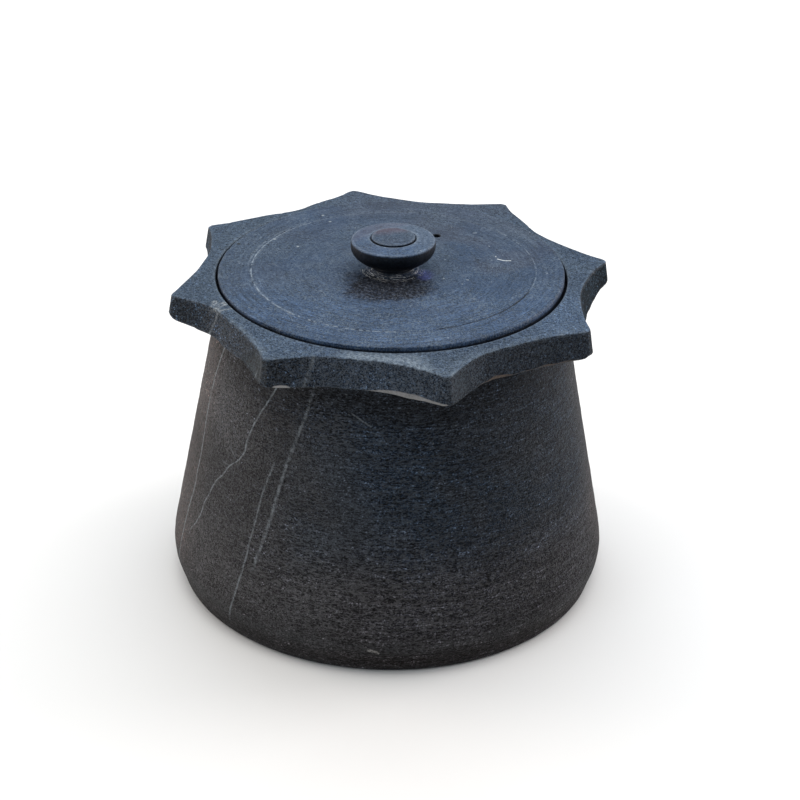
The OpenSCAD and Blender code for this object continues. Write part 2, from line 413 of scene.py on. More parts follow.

    # freshly scraped strips with painted bounce light from below, chips, and rubbed edges with painted highlights
    rub = g.remap(g.noise(p, 0.55, 3.0, 0.65), 0.34, 0.66)
    rub = g.mul(rub, g.remap(n["grain"], 0.30, 0.62, 0.35, 1.0))
    colour = g.mix(g.mul(worn, g.mad(rub, 0.80, 0.16)), colour, g.mix(top, (0.105, 0.115, 0.120), (0.225, 0.275, 0.325)))
    bare = g.mad(one(g, n["grain"]), 0.20, 1.0)
    colour = g.mix(g.mul(scrape, g.remap(n["blotch"], 0.30, 0.45, 0.75, 1.0)), colour, g.times((0.270, 0.265, 0.262), bare))
    # a brown strip of painted warm bounce light along the lower bevel on the right
    brown = g.mul(rust, g.remap(n["coarse"], 0.30, 0.55, 0.5, 1.0))
    colour = g.mix(brown, colour, g.times((0.094, 0.072, 0.060), bare))
    chip = g.mark(p, (-8.0, -111.4, 14.8), (-3.6, -111.7, 13.3), 0.3, 1.2)
    colour = g.mix(g.mul(chip, g.remap(n["grain"], 0.35, 0.6, 0.2, 1.0)), colour, (0.26, 0.25, 0.24))
    g.put(bsdf.inputs["Base Color"], colour)

    rough_wall = g.lerp(sooty, g.mad(one(g, n["grain"]), 0.12, 0.60), 0.92)
    rough_top = g.mad(one(g, n["blotch"]), 0.08, g.mad(one(g, n["grain"]), 0.12, 0.47))
    rough = g.lerp(top, rough_wall, rough_top)
    rough = g.lerp(g.low(g.add(g.add(scrape, lines), pits), 1.0), rough, 0.78)
    g.put(bsdf.inputs["Roughness"], rough)
    bsdf.inputs["Specular IOR Level"].default_value = 0.08

    h = g.mul(n["grain"], 0.75)
    h = g.mad(n["coarse"], 0.60, h)
    h = g.mad(g.lerp(turned, 0.5, dashes), 1.10, h)
    h = g.mad(g.lerp(turned, 0.5, bands), 1.10, h)
    h = g.mad(pits, -0.60, h)
    h = g.mad(worms, 0.10, h)
    h = g.mad(cracks, -0.25, h)
    h = g.mul(h, g.lerp(top, g.mad(g.top(calm, sooty), -0.7, 1.0), 0.50))
    bump = g.new("ShaderNodeBump")
    bump.inputs["Strength"].default_value = 1.0
    bump.inputs["Distance"].default_value = 0.00070
    g.put(bump.inputs["Height"], h)
    g.put(bsdf.inputs["Normal"], bump.outputs[0])
    return mat


def lid_material():
    mat, g, bsdf = shader("lid_stone_look")
    p = in_mm(g)
    x, y, z = g.split(p)
    n = stone_shared(g, p)
    worn = g.attribute("worn")
    flat = g.join(x, y, 0.0)
    r = g.vec("LENGTH", flat)
    aim = g.vec("NORMALIZE", flat)
    ax, ay, _ = g.split(aim)

    # marks of turning run round the axis
    arcs = g.noise(g.join(g.mul(ax, 3.0), g.mul(ay, 3.0), g.mul(r, 0.62)), 1.0, 2.0, 0.55)
    wide_arcs = g.noise(g.join(g.mul(ax, 0.8), g.mul(ay, 0.8), g.mul(r, 0.16)), 1.0, 2.0, 0.5)
    pits = g.remap(g.noise(g.vec("ADD", p, (9.0, 33.0, 8.0)), 0.55, 2.0, 0.55), 0.64, 0.74)
    specks = g.remap(g.noise(g.vec("ADD", p, (50.0, 6.0, 3.0)), 0.60, 0.0), 0.84, 0.89)
    worms = weave(g, p, 0.49, 31.0)
    cracks = threads(g, g.vec("ADD", p, (70.0, 20.0, 11.0)), 0.60, 0.42, 0.46)
    lively = g.remap(g.noise(g.vec("ADD", p, (5.0, 8.0, 70.0)), 0.05, 2.0, 0.5), 0.38, 0.62, 0.45, 1.15)
    nearer = g.remap(y, 0.0, -50.0)
    lively = g.mad(nearer, 0.55, lively)

    v = grit(g, [(n["grain"], 1.9), (n["crystal"], 0.3), (n["coarse"], 1.3), (n["blotch"], 1.0), (n["patch"], 0.9), (arcs, 1.3), (wide_arcs, 0.5)])
    v = g.mul(v, g.mad(g.low(g.top(pits, g.mul(g.mul(cracks, 0.9), lively)), 1.0), -0.58, 1.0))
    streaks = g.noise(g.join(g.mul(ax, 7.0), g.mul(ay, 7.0), g.mul(r, 1.5)), 1.0, 1.0, 0.5)
    v = g.mul(v, g.math("EXPONENT", g.mul(g.sub(streaks, 0.5), g.mad(nearer, 1.6, 0.7))))
    cool = g.remap(n["wide"], 0.40, 0.60)
    base = g.mix(cool, (0.0300, 0.0505, 0.0890), (0.0235, 0.0475, 0.0980))
    base = g.mix(g.remap(n["patch"], 0.52, 0.70, 0.0, 0.6), base, (0.0340, 0.0490, 0.0760))
    warm = g.mul(g.remap(g.noise(g.vec("ADD", p, (7.0, 70.0, 0.0)), 0.030, 2.0, 0.5), 0.46, 0.64), g.remap(x, -30.0, 30.0, 0.45, 1.0))
    base = g.mix(g.mul(warm, 0.50), base, (0.0385, 0.0420, 0.0635))
    base = g.mix(g.remap(v, 0.95, 1.5, 0.0, 0.75), base, (0.0380, 0.0505, 0.0700))
    # painted sky sheen: the front half bluer and paler, the back duller
    base = g.mix(g.mul(g.remap(y, 5.0, -50.0), 0.65), base, (0.0255, 0.0540, 0.1150))
    base = g.mix(g.mul(g.remap(g.add(y, g.mul(x, 0.3)), 48.0, 78.0), 0.55), base, (0.0290, 0.0370, 0.0600))
    base = g.times(base, g.mul(v, g.mul(g.mad(g.remap(z, 180.0, 181.5), 0.45, 1.0), g.remap(z, 182.8, 183.2, 1.0, 0.66))))
    base = g.mix(g.mul(worms, g.mul(lively, 0.50)), base, (0.125, 0.162, 0.205))
    base = g.mix(g.mul(specks, 0.7), base, (0.30, 0.34, 0.38))

    # hair lines: the crests of a slow noise, broken up
    hair = g.remap(g.abs(g.sub(g.noise(p, 0.055, 3.0, 0.55, 0.6), 0.5)), 0.0015, 0.0060, 1.0, 0.0)
    hair = g.mul(hair, g.remap(g.noise(p, 0.10, 2.0, 0.5), 0.50, 0.64))
    base = g.mix(g.mul(hair, g.mad(nearer, 0.25, 0.32)), base, (0.18, 0.215, 0.255))

    # the scribed ring, whitish where it was rubbed, with painted shade in its groove at the right front
    rs = g.vec("DISTANCE", flat, (1.0, 0.9, 0.0))
    double = g.abs(g.sub(rs, 72.2))
    off = g.abs(g.sub(g.add(rs, g.mul(one(g, g.noise(p, 0.25, 2.0)), 0.25)), 70.5))
    ang = g.math("ARCTAN2", y, x)
    left = g.remap(ax, -0.55, -0.85)
    back = g.mul(g.remap(ay, 0.35, 0.75), g.remap(ax, -0.95, 0.3, 0.9, 0.35))
    front = g.mul(g.remap(ay, -0.12, -0.32), g.remap(ax, 0.12, 0.02))
    right_front = g.band(ang, -1.20, -0.42, 0.12)
    right = g.mul(g.band(ang, -0.35, 0.62, 0.2), 0.55)
    broken = g.remap(g.noise(g.join(g.mul(ax, 30.0), g.mul(ay, 30.0), g.mul(r, 0.4)), 1.0, 2.0, 0.6), 0.42, 0.56)
    fuzzy = g.mul(g.mul(g.top(left, back), g.remap(off, 0.3, 1.9, 1.0, 0.0)), g.remap(n["coarse"], 0.42, 0.62))
    crisp = g.mul(g.top(g.top(g.top(left, g.mul(back, 0.6)), front), right), g.mul(g.remap(off, 0.12, 0.52, 1.0, 0.0), broken))
    second = g.mul(g.mul(g.mul(g.remap(double, 0.2, 0.8, 1.0, 0.0), g.remap(ax, -0.55, -0.85)), g.remap(ay, -0.05, 0.15)), broken)
    white = g.math("ADD", g.top(g.mul(fuzzy, 0.24), g.mul(second, 0.32)), g.mul(crisp, 0.72), clamp=True)
    base = g.mix(white, base, (0.240, 0.290, 0.345))
    base = g.mix(g.mul(right_front, g.remap(off, 0.20, 0.72, 1.0, 0.0)), base, (0.004, 0.006, 0.011))

    # single marks
    on_face = g.join(x, y, 165.8)
    scar = g.top(g.mark(on_face, (52.9, 12.8, 165.8), (56.1, 11.0, 165.8), 0.12, 0.42), g.mark(on_face, (56.1, 11.0, 165.8), (59.4, 11.0, 165.8), 0.12, 0.42))
    scar = g.top(scar, g.mul(g.mark(on_face, (52.1, 16.1, 165.8), (52.2, 15.3, 165.8), 0.12, 0.42), 0.6))
    dots = g.mul(g.spot(on_face, (-59.9, 34.9, 165.8), 0.5, 1.2), 1.0)
    for at in ((-32.4, 57.7), (-36.4, 66.0), (-47.6, 26.0)):
        dots = g.top(dots, g.spot(on_face, (*at, 165.8), 0.4, 1.0))
    base = g.mix(scar, base, (0.62, 0.66, 0.68))
    base = g.mix(g.mul(dots, 0.6), base, (0.36, 0.40, 0.42))
    base = g.mix(g.spot(on_face, (-77.7, 28.4, 165.8), 0.6, 1.4), base, (0.010, 0.011, 0.013))

    # round the foot of the knob, most towards the front: fat stain and a painted dark reflection of the knob
    q = g.vec("MULTIPLY", g.vec("SUBTRACT", p, (-1.5, -19.0, 165.8)), (0.92, 1.10, 0.0))
    reach = g.add(g.vec("LENGTH", q), g.mul(one(g, g.noise(p, 0.10, 4.0, 0.70)), 12.0))
    fat = g.mul(g.remap(reach, 15.0, 24.0, 1.0, 0.0), g.remap(z, 165.0, 168.5, 1.0, 0.0))
    dim = g.times((0.0030, 0.0025, 0.0032), g.mul(g.mul(v, v), g.mad(cracks, -0.6, 1.0)))
    dim = g.mix(g.mul(worms, g.remap(n["coarse"], 0.44, 0.62, 0.10, 0.75)), dim, (0.140, 0.140, 0.150))
    base = g.mix(g.mul(fat, g.remap(n["coarse"], 0.36, 0.64, 0.98, 0.70)), base, dim)
    # a violet patch of painted sheen beside the knob
    smear = g.vec("LENGTH", g.vec("MULTIPLY", g.vec("SUBTRACT", p, (16.3, -6.5, 165.8)), (1.5, 1.0, 0.6)))
    smear = g.mul(g.remap(smear, 2.5, 8.5, 1.0, 0.0), g.remap(n["blotch"], 0.30, 0.56, 0.35, 1.0))
    base = g.mix(g.mul(smear, 0.80), base, g.times((0.062, 0.074, 0.225), v))
    # light scratches round the foot of the knob
    ring_r = g.vec("LENGTH", g.vec("SUBTRACT", flat, (0.6, 0.0, 0.0)))
    scratch = g.noise(g.join(g.mul(ax, 2.2), g.mul(ay, 2.2), g.mul(ring_r, 1.6)), 1.0, 1.0, 0.5)
    scratch = g.mul(g.remap(g.abs(g.sub(scratch, 0.5)), 0.014, 0.040, 1.0, 0.0), g.band(ring_r, 10.6, 15.4, 1.0))
    scratch = g.mul(g.mul(scratch, g.remap(y, 3.0, -4.0)), g.mul(g.remap(z, 168.0, 168.6, 1.0, 0.0), g.remap(n["blotch"], 0.38, 0.50)))
    base = g.mix(scratch, base, (0.50, 0.52, 0.54))
    # reddish tone on the knob's button, and painted shade below the cap
    button = g.mul(g.remap(r, 9.5, 11.0, 1.0, 0.0), g.remap(z, 181.5, 182.5))
    red = g.mul(button, g.remap(g.add(g.sub(y, g.mul(x, 0.35)), g.mul(one(g, n["blotch"]), 4.0)), 0.0, 7.0))
    base = g.mix(g.mul(red, 0.42), base, (0.110, 0.070, 0.088))
    glow = g.mul(g.mul(g.remap(z, 181.2, 181.9), g.band(r, 12.5, 20.0, 1.5)), g.remap(g.sub(y, g.mul(x, 0.8)), 6.0, 16.0))
    base = g.mix(g.mul(glow, 0.22), base, (0.100, 0.070, 0.088))
    # painted shade under the knob's cap, in the groove round its button and inside the vent hole
    sooty = g.attribute("soot")
    base = g.mix(g.mul(sooty, 0.95), base, g.times((0.0020, 0.0027, 0.0044), v))

    # rubbed pale edges, with painted highlights on the lid's edge and the knob's cap
    rub = g.remap(g.noise(p, 0.6, 3.0, 0.65), 0.34, 0.66)
    base = g.mix(g.mul(worn, g.mad(rub, 0.55, 0.14)), base, g.mix(g.remap(z, 180.0, 181.0), (0.15, 0.18, 0.215), (0.25, 0.30, 0.36)))
    # painted shade on the lid's side, in the gap round the lid
    upright = g.mul(g.remap(r, 84.3, 85.0), g.remap(z, 163.4, 164.4, 1.0, 0.0))
    base = g.mix(g.mul(upright, 0.85), base, g.times((0.0055, 0.0060, 0.0090), v))
    g.put(bsdf.inputs["Base Color"], base)

    rough = g.mad(one(g, n["blotch"]), 0.10, 0.50)
    rough = g.mad(one(g, n["grain"]), 0.16, rough)
    rough = g.mad(g.low(g.add(white, pits), 1.0), 0.25, rough)
    rough = g.lerp(g.mul(fat, 0.85), rough, 0.95)
    g.put(bsdf.inputs["Roughness"], rough)
    bsdf.inputs["Specular IOR Level"].default_value = 0.13

    h = g.mul(n["grain"], 0.60)
    h = g.mad(n["coarse"], 0.60, h)
    h = g.mad(arcs, 0.45, h)
    h = g.mad(pits, -0.7, h)
    h = g.mad(cracks, -0.25, h)
    h = g.mad(worms, 0.12, h)
    h = g.mul(h, g.mad(sooty, -0.6, 1.0))
    bump = g.new("ShaderNodeBump")
    bump.inputs["Strength"].default_value = 1.0
    bump.inputs["Distance"].default_value = 0.00036
    g.put(bump.inputs["Height"], h)
    g.put(bsdf.inputs["Normal"], bump.outputs[0])
    return mat


# ---------------------------------------------------------------- mesh helper
class Shell:
    """A closed skin made ring by ring, along a profile that runs from the bottom out, up and back in."""

    def __init__(self, names):
        self.v, self.quads, self.tris, self.n = [], [], [], 0
        self.att = {k: [] for k in names}

    def points(self, pts, **att):
        start = self.n
        pts = np.asarray(pts, float)
        self.v.append(pts)
        for k in self.att:
            a = att.get(k, 0.0)
            self.att[k].append(np.broadcast_to(np.asarray(a, float), (len(pts),)).copy())
        self.n += len(pts)
        return start, len(pts)

    def join(self, a, b, skip=None):
        (sa, n), (sb, m) = a, b
        if n == m:
            j = np.arange(n)
            k = (j + 1) % n
            q = np.stack([sa + j, sa + k, sb + k, sb + j], 1)
            if skip is not None:
                q = q[~skip]
            self.quads.append(q)
        elif n == 2 * m:
            j = np.arange(m)
            a0, a1, a2 = sa + 2 * j, sa + 2 * j + 1, sa + (2 * j + 2) % n
            b0, b1 = sb + j, sb + (j + 1) % m
            for t in ((a0, a1, b0), (a1, b1, b0), (a1, a2, b1)):
                self.tris.append(np.stack(t, 1))
        elif m == 2 * n:
            j = np.arange(n)
            a0, a1 = sa + j, sa + (j + 1) % n
            b0, b1, b2 = sb + 2 * j, sb + 2 * j + 1, sb + (2 * j + 2) % m
            for t in ((a0, b1, b0), (a0, a1, b1), (a1, b2, b1)):
                self.tris.append(np.stack(t, 1))
        else:
            raise ValueError("rings don't match")

    def start_fan(self, centre, ring):
        s, n = ring
        j = np.arange(n)
        self.tris.append(np.stack([np.full(n, centre[0]), s + (j + 1) % n, s + j], 1))

    def end_fan(self, ring, centre):
        s, n = ring
        j = np.arange(n)
        self.tris.append(np.stack([s + j, s + (j + 1) % n, np.full(n, centre[0])], 1))

    def strip(self, a, b, towards):
        """Joins two loops of vertex numbers, faces turned the way of the vector towards, or to its points."""
        v = np.concatenate(self.v)
        a, b = np.asarray(a), np.asarray(b)
        k = np.roll(np.arange(len(a)), -1)
        q = np.stack([a, a[k], b[k], b], 1)
        normal = np.cross(v[q[:, 2]] - v[q[:, 0]], v[q[:, 3]] - v[q[:, 1]])
        want = towards if callable(towards) is False else towards(v[q].mean(1))
        flip = (normal * want).sum(1) < 0
        q[flip] = q[flip][:, ::-1]
        self.quads.append(q)

    def build(self, name, material):
        v = np.concatenate(self.v) * MM
        q = np.concatenate(self.quads) if self.quads else np.zeros((0, 4), int)
        t = np.concatenate(self.tris) if self.tris else np.zeros((0, 3), int)
        me = bpy.data.meshes.new(name)
        me.vertices.add(len(v))
        me.vertices.foreach_set("co", v.astype(np.float32).ravel())
        loops = np.concatenate([q.ravel(), t.ravel()]).astype(np.int32)
        sizes = np.concatenate([np.full(len(q), 4), np.full(len(t), 3)])
        me.loops.add(len(loops))
        me.loops.foreach_set("vertex_index", loops)
        me.polygons.add(len(sizes))
        me.polygons.foreach_set("loop_start", (np.cumsum(sizes) - sizes).astype(np.int32))
        me.polygons.foreach_set("use_smooth", np.ones(len(sizes), bool))
        me.update(calc_edges=True)
        for k, parts in self.att.items():
            a = me.attributes.new(k, "FLOAT", "POINT")
            a.data.foreach_set("value", np.concatenate(parts).astype(np.float32))
        if me.validate(verbose=True):
            raise RuntimeError(name + " has faulty faces")
        me.materials.append(material)
        ob = bpy.data.objects.new(name, me)
        scene.collection.objects.link(ob)
        return ob


def step(x, a, b):
    t = np.clip((x - a) / (b - a), 0, 1)
    return t * t * (3 - 2 * t)


def window(x, a, b, soft):
    return step(x, a - soft, a + soft) * (1 - step(x, b - soft, b + soft))


def smooth_min(a, b, w):
    h = np.clip(0.5 + 0.5 * (b - a) / w, 0, 1)
    return b * (1 - h) + a * h - w * h * (1 - h)


def waves(seed, n, kmax, length):
    """Gentle unevenness over the direction (radians) and a height (mm), of size about 1."""
    rs = np.random.RandomState(seed)
    k = rs.randint(1, kmax + 1, n) * rs.choice([-1, 1], n)
    w = 2 * np.pi / length * rs.uniform(-1, 1, n)
    ph = rs.uniform(0, 2 * np.pi, n)

    def value(th, z):
        z = np.broadcast_to(z, np.shape(th))
        return sum(np.cos(k[i] * th + w[i] * z + ph[i]) for i in range(n)) / math.sqrt(n / 2)

    return value


def rounded(points, radius=None):
    return np.array(points, float)


def bez(p0, p1, p2, p3, n):
    t = np.linspace(0, 1, n + 1)[:, None]
    return (1 - t) ** 3 * np.array(p0) + 3 * t * (1 - t) ** 2 * np.array(p1) + 3 * t * t * (1 - t) * np.array(p2) + t**3 * np.array(p3)


# ---------------------------------------------------------------- pot
# the star's points counter-clockwise from the front right: direction, reach, how blunt each one is
POINT_DIR = [-31.2, 11.9, 57.4, 101.2, 148.7, 193.6, 238.3, 283.8]
POINT_R = [109.8, 110.6, 110.8, 110.9, 111.4, 109.6, 108.2, 109.6]
BLUNT = [0.9, 1.9, 0.4, 3.0, 0.7, 1.0, 0.5, 0.6]
# the hollow after each point: depth, lean of its face, lopsidedness, flatness towards the points
HOLLOW_R = [94.6, 91.6, 92.0, 92.2, 94.4, 94.3, 94.5, 95.5]
LEAN = [3.2, 2.2, 2.0, 2.0, 2.8, 2.0, 1.9, 2.0]
SKEW = [0.0, -0.8, 0.5, -0.6, -0.6, -1.2, -0.1, -1.1]
FLAT = [0.2, 1.1, 0.7, 2.0, 0.2, -1.0, -0.5, -0.9]
TIP_R = 110.0


def circle3(a, b, c):
    d = 2 * (a[0] * (b[1] - c[1]) + b[0] * (c[1] - a[1]) + c[0] * (a[1] - b[1]))
    a2, b2, c2 = a @ a, b @ b, c @ c
    m = np.array([a2 * (b[1] - c[1]) + b2 * (c[1] - a[1]) + c2 * (a[1] - b[1]), a2 * (c[0] - b[0]) + b2 * (a[0] - c[0]) + c2 * (b[0] - a[0])]) / d
    return m, float(np.hypot(*(a - m)))


def polar(r, deg):
    a = math.radians(deg)
    return np.array([r * math.cos(a), r * math.sin(a)])


def make_pot(material):
    per = 80
    cols = 8 * per
    th = np.zeros(cols)
    sector = np.zeros(cols, int)
    share = np.zeros(cols)
    circles = []
    for k in range(8):
        a0 = POINT_DIR[k]
        a1 = POINT_DIR[(k + 1) % 8] + (360 if k == 7 else 0)
        half = math.degrees(1.1 / TIP_R)
        circles.append(circle3(polar(POINT_R[k], a0 + half), polar(HOLLOW_R[k], (a0 + a1) / 2), polar(POINT_R[(k + 1) % 8], a1 - half)))
        t = np.arange(per) / per
        s = t - 0.62 * np.sin(2 * np.pi * t) / (2 * np.pi)
        th[k * per:(k + 1) * per] = np.radians(a0 + (a1 - a0) * s)
        sector[k * per:(k + 1) * per] = k
        share[k * per:(k + 1) * per] = s
    cos, sin = np.cos(th), np.sin(th)
    deg = np.degrees(th) % 360
    cx = np.array([circles[k][0][0] for k in sector])
    cy = np.array([circles[k][0][1] for k in sector])
    cr = np.array([circles[k][1] for k in sector])
    to_tip = np.minimum(share, 1 - share) * 45 * np.pi / 180 * TIP_R  # mm along the edge, about
    after = (sector + 1) % 8
    f = step(share, 0.3, 0.7)
    blunt = np.array(BLUNT)[sector] * (1 - f) + np.array(BLUNT)[after] * f
    reach = np.array(POINT_R)[sector] * (1 - share) + np.array(POINT_R)[after] * share
    ends = np.sin(np.pi * share)
    lean = 2.0 * (1 - ends) + np.array(LEAN)[sector] * ends
    shape = np.array(SKEW)[sector] * np.sin(2 * np.pi * share) + np.array(FLAT)[sector] * (1 - np.cos(4 * np.pi * share)) / 2

    def near(k, width):
        """1 at point k, fading over a width in mm along the edge."""
        d = np.where(sector == k, share, np.where(after == k, 1 - share, 9.0)) * 45 * np.pi / 180 * TIP_R
        return np.exp(-(d / width) ** 2)

    hand = waves(3, 9, 26, 60.0)
    hand2 = waves(4, 12, 60, 14.0)
    rasp = waves(5, 16, 120, 9.0)
    rs = np.random.RandomState(11)

    def outline(z):
        """Radius of the star's edge at height z, for each column."""
        z = np.broadcast_to(z, (cols,))
        big = cr - (lean / 13.0) * (163.0 - z)
        cu = cx * cos + cy * sin
        disc = cu * cu - cx * cx - cy * cy + big * big
        hollow = np.where(disc > 0, cu - np.sqrt(np.maximum(disc, 0)) + shape, 400.0)
        tip = reach + (162.0 - z) / 11.0 * 1.8
        r = smooth_min(hollow, tip, blunt)
        return r - 0.12 - 0.10 * hand(th, z) * step(to_tip, 0, 6) - 0.05 * hand2(th, z) - 0.022 * rasp(th, z)

    # sizes of the rounded, chipped edges
    chips = np.zeros(cols)
    low_chips = np.zeros(cols)
    for _ in range(26):
        at, w, s = rs.uniform(0, 360), rs.uniform(0.4, 1.6), rs.uniform(0.2, 1.0)
        d = np.abs((deg - at + 180) % 360 - 180)
        chips = np.maximum(chips, s * np.clip(1 - (d / w) ** 1.5, 0, 1))
    for _ in range(26):
        at, w, s = rs.uniform(0, 360), rs.uniform(0.4, 1.8), rs.uniform(0.2, 0.9)
        d = np.abs((deg - at + 180) % 360 - 180)
        low_chips = np.maximum(low_chips, s * np.clip(1 - (d / w) ** 1.5, 0, 1))
    rubbed = window(deg, 218, 238, 7) * 0.9
    edge = 0.50 + 0.10 * hand2(th, 0.0) + 0.9 * chips * (1 + 0.3 * rasp(th, 3.0)) + 0.25 * np.exp(-to_tip / 3.0) + 0.7 * rubbed
    edge = np.clip(edge, 0.3, 2.6)
    # freshly knocked strips along the lower edge, as their height in mm
    strip_a = np.interp(deg, [262.6, 264.5, 266.5, 269, 272.5, 275.5, 277.5, 279.2, 282.3, 283.4, 283.9], [0, 0.25, 0.6, 1.2, 2.0, 2.3, 2.0, 1.1, 0.9, 0.8, 0])
    strip_b = np.interp(deg, [240.2, 240.6, 242, 243.4, 244.0], [0, 1.2, 1.5, 1.0, 0])
    strip_c = window(deg, 296, 326, 3.0) * (0.8 + 0.28 * hand(th, 77.0) + 0.22 * hand2(th, 77.0)) * (1.15 - 0.5 * step(deg, 300, 326))
    strip_c = np.clip(strip_c, 0, 1.6)
    corner = near(0, 3.0) + near(5, 3.2) + 0.6 * near(1, 3.0)
    bev_h = 0.55 + 0.10 * hand2(th, 9.0) + strip_a + 0.7 * strip_b + 1.25 * strip_c + 0.6 * low_chips + 1.5 * corner
    bev_w = 0.55 + 0.08 * hand2(th, 5.0) + 0.16 * strip_a + 0.15 * strip_b + 0.8 * strip_c + 0.4 * low_chips + 1.2 * corner
    bev_h, bev_w = np.clip(bev_h, 0.4, 4), np.clip(bev_w, 0.4, 2.4)
    thick = 1.5 * near(6, 14.0) + 1.4 * near(7, 16.0) + 1.3 * near(0, 20.0) + 0.5 * window(deg, 236, 330, 8) + 0.30 * strip_a + 0.2 * hand(th, 40.0)

    def under_z(r):
        return 148.0 + 2.0 * (r - 89.2) / 22.8 - thick * step(r, 92, 104)

    def top_z(r):
        return 164.0 - 2.0 * np.clip(r - 87.6, 0, 40) / 22.4 - 0.06 - 0.05 * hand(th, r * 1.0) * step(r, 88, 92)

    shell = Shell(["top", "worn", "scrape", "rust", "calm", "soot"])
    last = [None]

    def ring(r, z, reduce=1, **att):
        r = np.broadcast_to(r, (cols,)) if np.ndim(r) < 1 or len(np.atleast_1d(r)) == 1 else r
        z = np.broadcast_to(z, (cols,))
        sel = slice(None, None, reduce)
        att = {k: (np.broadcast_to(a, (cols,))[sel]) for k, a in att.items()}
        made = shell.points(np.stack([r * cos, r * sin, z], 1)[sel], **att)
        if last[0] is not None:
            shell.join(last[0], made)
        last[0] = made
        return made

    # underneath
    centre = shell.points([[0, 0, 0.35]])
    first = ring(6.0, 0.35, 16)
    shell.start_fan(centre, first)
    ring(20.0, 0.34, 16)
    ring(38.0, 0.30, 8)
    ring(60.0, 0.25, 4)
    ring(82.0, 0.12, 2)
    ring(97.0, 0.03, 2)
    # foot: small round at the floor, turned-under band, soft lower edge
    wob = waves(21, 8, 7, 90.0)
    fine_wob = waves(22, 14, 40, 18.0)
    groove = np.random.RandomState(31)
    lam, ph, ec = groove.uniform(3.2, 13.0, 12), groove.uniform(0, 2 * np.pi, 12), groove.uniform(0, 2 * np.pi, 12)

    def turned(z):
        return sum(np.cos(2 * np.pi * z / lam[i] + ph[i] + 0.6 * np.cos(th + ec[i])) for i in range(12)) / 2.45

    def body(r, z, grip=1.0, **att):
        z = np.broadcast_to(z, (cols,)).astype(float)
        cut = 0.16 + 0.07 * wob(th, z) + 0.035 * fine_wob(th, z) + 0.035 * turned(z)
        cut = cut + rs.uniform(-0.018, 0.018, cols)
        dent = 0.5 * np.exp(-(((deg - 267.2) * 1.94) ** 2 + (z - 13.9) ** 2) / 1.3)
        return ring(r - (cut + dent) * grip, z, 1, **att)

    ring(103.5, 0.0)
    for r, z in ((105.7, 0.05), (106.7, 0.16), (107.4, 0.42), (107.9, 0.90), (108.4, 1.7), (109.0, 3.6), (109.6, 5.6), (110.25, 7.7)):
        body(r, z, 0.6 if z < 1 else 1.0, worn=0.25 if z < 2 else 0.0)
    a, b, c = np.array([110.84, 9.0]), np.array([112.8, 15.0]), np.array([111.43, 22.0])
    for i in range(9):
        t = i / 8
        r, z = (1 - t) ** 2 * a + 2 * t * (1 - t) * b + t * t * c
        body(r, z + 0.35 * wob(th, 200.0) * math.sin(math.pi * t), worn=0.22 * math.sin(math.pi * t) ** 2)
    for z in np.linspace(22, 145.2, 60)[1:]:
        body(111.43 + (87.3 - 111.43) * (z - 22) / 123.4, z)
    # neck and the rim's underside
    for r, z in ((87.35, 146.1), (87.6, 146.8), (88.1, 147.45), (88.8, 147.9)):
        ring(r - 0.15, z)
    low_out = outline(under_z(outline(149.0)) + bev_h * 0.0)
    z_low = under_z(low_out)
    r_in = low_out - bev_w
    for s in (0.0, 0.25, 0.5, 0.75, 0.95):
        r = 89.6 + (r_in - 89.6) * s
        ring(r, under_z(r) + 0.05 * hand2(th, r) * (0.3 + s) - 0.0)
    # bevel along the lower edge
    # the bevel's strips carry painted bounce light from below, and painted warm bounce light on the right
    sc = np.clip(np.clip(strip_a * 1.2, 0, 0.8) + np.clip(strip_b, 0, 1), 0, 1)
    for s, w in ((-0.10, 0.0), (0.12, 0.6), (0.5, 0.9), (0.88, 0.6), (1.12, 0.0)):
        z = z_low + np.clip(s, 0, 2) * bev_h
        r = outline(z) - bev_w * (1 - np.clip(s, -1, 1))
        ring(r, z, worn=w * 0.35, scrape=sc * step(w, 0.0, 0.5), rust=np.clip(strip_c, 0, 1) * step(w, 0.0, 0.5))
    # side
    z_te = top_z(outline(162.5))
    z0, z1 = z_low + 1.12 * bev_h, z_te - edge
    # painted shade on the sawn sides at the right point and on two sides to the left
    stained = np.clip(window((deg + 30) % 360, 12, 45, 4.0) + 0.45 * window(deg, 193, 204, 3.0) + 0.55 * window(deg, 149.5, 166, 2.0), 0, 1)
    for s in (0.10, 0.26, 0.42, 0.58, 0.74, 0.90):
        z = z0 + (z1 - z0) * s
        smooth_side = np.clip(window(deg, 225.5 + 7.0 * s, 237.4, 1.3) + 0.5 * window(deg, 285.6, 290.5, 1.6), 0, 1)
        ring(outline(z) + 0.035 * rasp(th, z) * (1 - smooth_side), z, calm=smooth_side * (0.6 + 0.4 * (s < 0.8)), soot=stained, worn=0.25 * near(6, 1.2))
    # rounded upper edge
    # rubbed pale, with a painted highlight along the front
    pale = np.clip(window(deg, 258, 281, 5.0) * 0.80 + 0.45 * window(deg, 284, 300, 6) + 0.25 * window(deg, 300, 330, 5), 0, 1)
    for phi, w in ((0, 0.30), (30, 0.6), (60, 0.8), (90, 0.75)):
        c, s = math.cos(math.radians(phi)), math.sin(math.radians(phi))
        z = z_te - edge + edge * s
        r = outline(z) - edge + edge * c
        a = w * (0.25 + 0.8 * chips + 0.7 * pale + 0.45 * rubbed)
        ring(r, z, top=1.0 if phi > 50 else (0.6 if phi > 20 else 0.15), worn=np.clip(a, 0, 1))
    r_top = outline(z_te) - edge
    # a band of painted highlight along the front of the rim's top, with the wear
    front_pale = window(deg, 256, 279, 4.0)
    for s, w in ((0.05, 0.75), (0.14, 0.72), (0.26, 0.55), (0.40, 0.30), (0.56, 0.10), (0.74, 0.0), (0.92, 0.0)):
        r = r_top + (88.0 - r_top) * s
        z = top_z(r) + (z_te - top_z(r_top)) * (1 - s)
        ring(r, z, top=1.0, worn=np.clip(w * (pale + 0.35 * rubbed * (s < 0.2)) + front_pale * (0.75 if s < 0.8 else 0.4), 0, 1))
